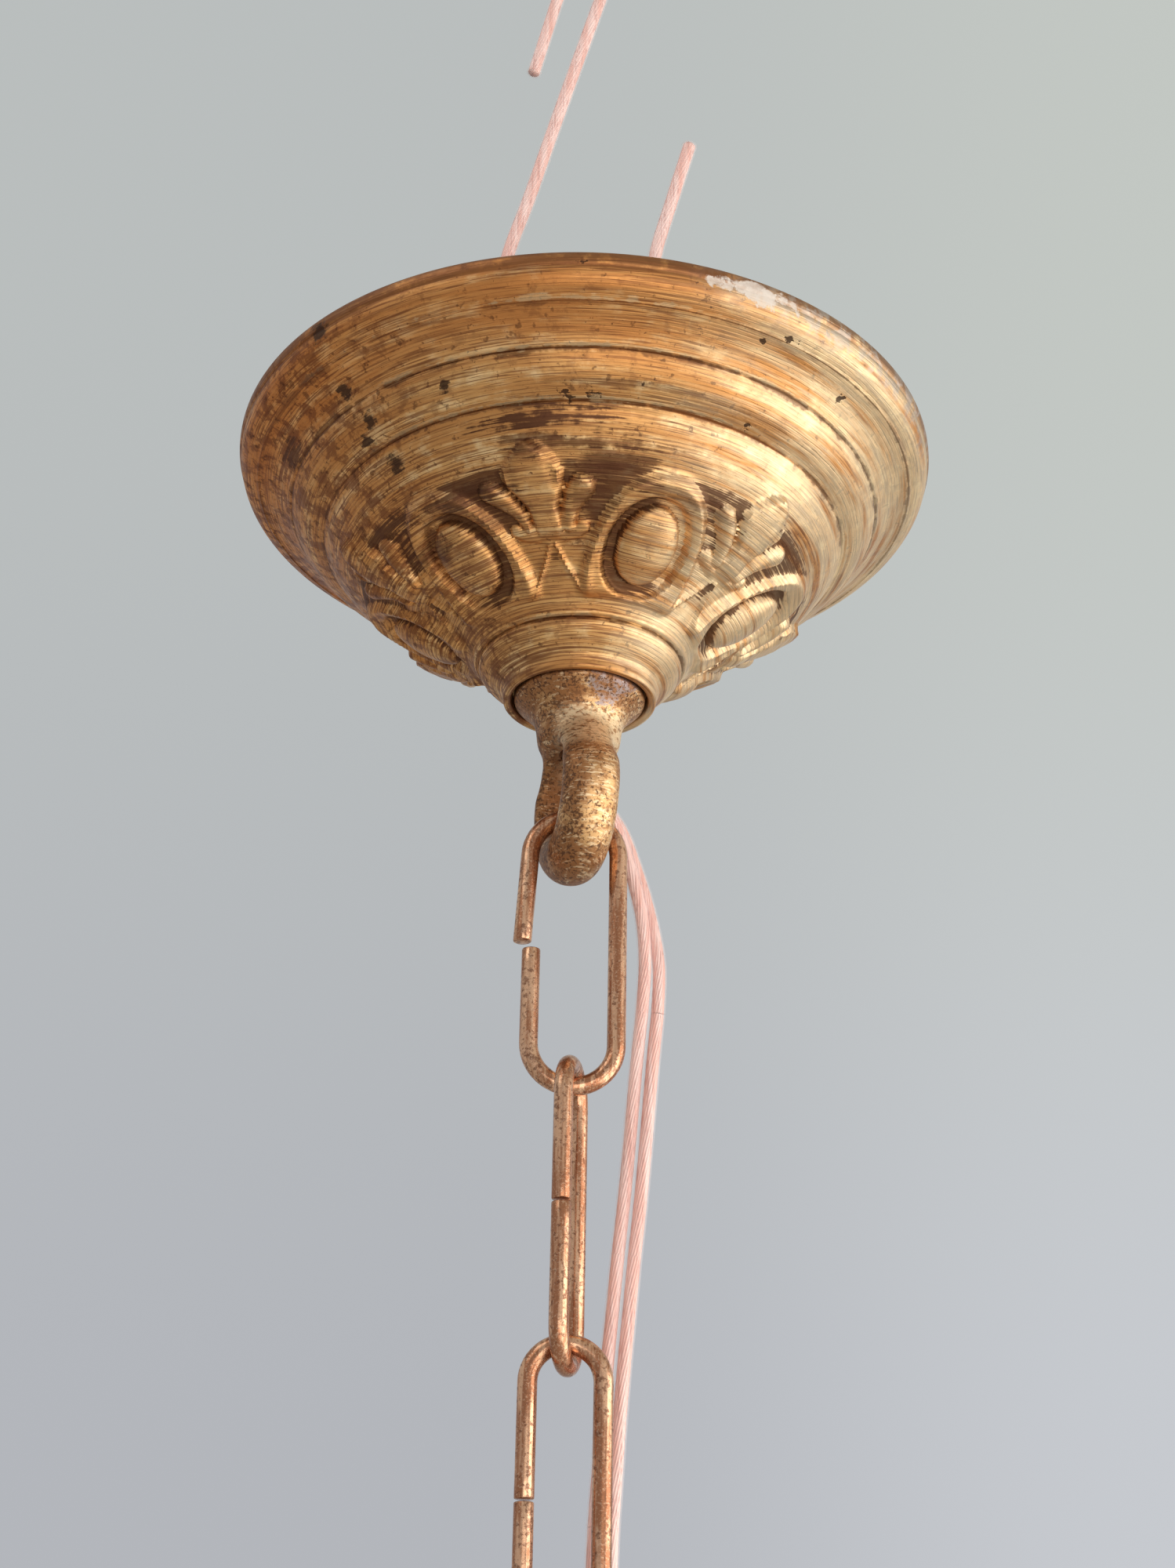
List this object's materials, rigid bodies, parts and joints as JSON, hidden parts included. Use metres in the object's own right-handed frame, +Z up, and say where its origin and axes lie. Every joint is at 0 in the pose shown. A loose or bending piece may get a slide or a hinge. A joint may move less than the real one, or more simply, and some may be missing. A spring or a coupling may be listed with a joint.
{
  "type": "pendant lamp suspension",
  "caption": "Gilt relief ceiling canopy with a cast loop, a short chain of oval wire links and a clear twin flex, ending in the cast loop that a lamp screws on to.",
  "frame": {"origin": "middle of the canopy's rim plane, where the ceiling hook comes down on the axis", "axes": "+Z up along the hanging axis, the room's front at -Y, +X to the right in the picture"},
  "size_m": [0.12, 0.12, 0.3233],
  "materials": {
    "gilt": "aged gilt over brass, horizontal turning marks, red-brown in the hollows",
    "cast_brass": "cast, lacquered brown-gold, fine brushed speckle",
    "chain_wire": "bronze-lacquered steel wire, worn to pale specks",
    "steel": "plain zinc-plated steel",
    "clear_flex": "clear PVC over fine copper strands",
    "bush_plastic": "moulded insulating plastic"
  },
  "bodies": {
    "canopy": {"canopy_shell": "gilt", "ceiling_loop": "cast_brass", "stem_nipple": "steel", "canopy_washer": "steel", "canopy_locknut": "steel", "hanger_strap": "steel", "strap_washer": "steel", "strap_locknut": "steel", "hanger_bolt": "steel", "hanger_nut": "steel", "flex_bush": "bush_plastic", "flex_in_stem": "clear_flex", "conductor_long": "clear_flex", "conductor_short": "clear_flex", "flex_1": "clear_flex"},
    "link_1": {"link_1": "chain_wire", "flex_2": "clear_flex"},
    "link_2": {"link_2": "chain_wire", "flex_3": "clear_flex"},
    "link_3": {"link_3": "chain_wire", "flex_4": "clear_flex"},
    "lamp_loop": {"lamp_loop": "cast_brass", "lamp_nipple": "steel", "lamp_washer": "steel", "lamp_nut": "steel", "flex_in_lamp": "clear_flex"}
  },
  "joints": [
    {"name": "link_1_swing", "type": "hinge", "parent": "canopy", "child": "link_1", "pos_m": [0, 0, -0.0739], "axis": [-0.2588, 0.9659, 0], "range_deg": [-60, 60], "deforming": ["flex_1"]},
    {"name": "link_2_swing", "type": "hinge", "parent": "link_1", "child": "link_2", "pos_m": [0, 0, -0.11289], "axis": [0.9976, 0.0698, 0], "range_deg": [-60, 60], "deforming": ["flex_2"]},
    {"name": "link_3_swing", "type": "hinge", "parent": "link_2", "child": "link_3", "pos_m": [0, 0, -0.15541], "axis": [0.2079, 0.9781, 0], "range_deg": [-60, 60], "deforming": ["flex_3"]},
    {"name": "lamp_swing", "type": "hinge", "parent": "link_3", "child": "lamp_loop", "pos_m": [0, 0, -0.19793], "axis": [1, 0, 0], "range_deg": [-60, 60], "deforming": ["flex_4"]}
  ]
}
